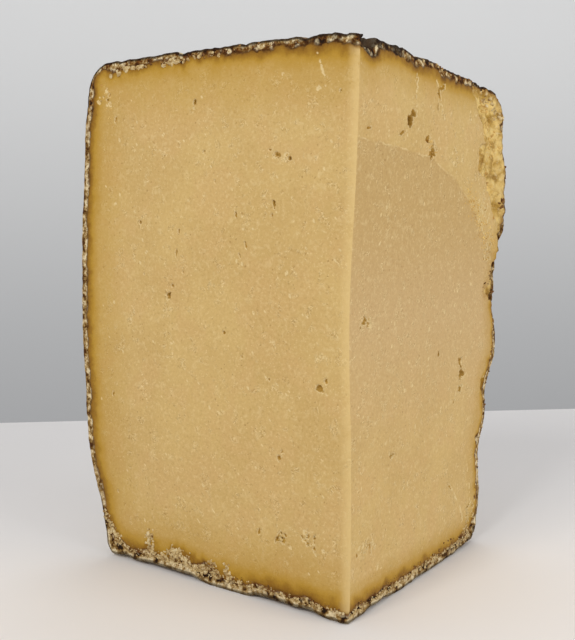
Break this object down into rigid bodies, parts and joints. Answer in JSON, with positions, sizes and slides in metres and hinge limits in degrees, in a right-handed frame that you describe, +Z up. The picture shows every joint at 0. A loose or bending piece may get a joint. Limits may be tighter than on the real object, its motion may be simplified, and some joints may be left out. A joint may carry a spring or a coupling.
{
  "type": "quarter wheel of aged hard cheese",
  "caption": "Tall quarter of a rinded hard-cheese wheel: two flat cut faces meeting at an upright edge, a bulging chipped crust behind, flat base to stand on.",
  "frame": {"origin": "middle of the piece's box at the level of the base it stands on", "axes": "Z up the wheel's axis; -Y towards the upright edge where the two cut faces meet; X across the piece, +X towards the cut face with the torn crust"},
  "size_m": [0.2914, 0.2037, 0.3106],
  "materials": {
    "aged_cheese": null
  },
  "bodies": {
    "root": {"quarter_wheel": "aged_cheese"}
  },
  "joints": []
}
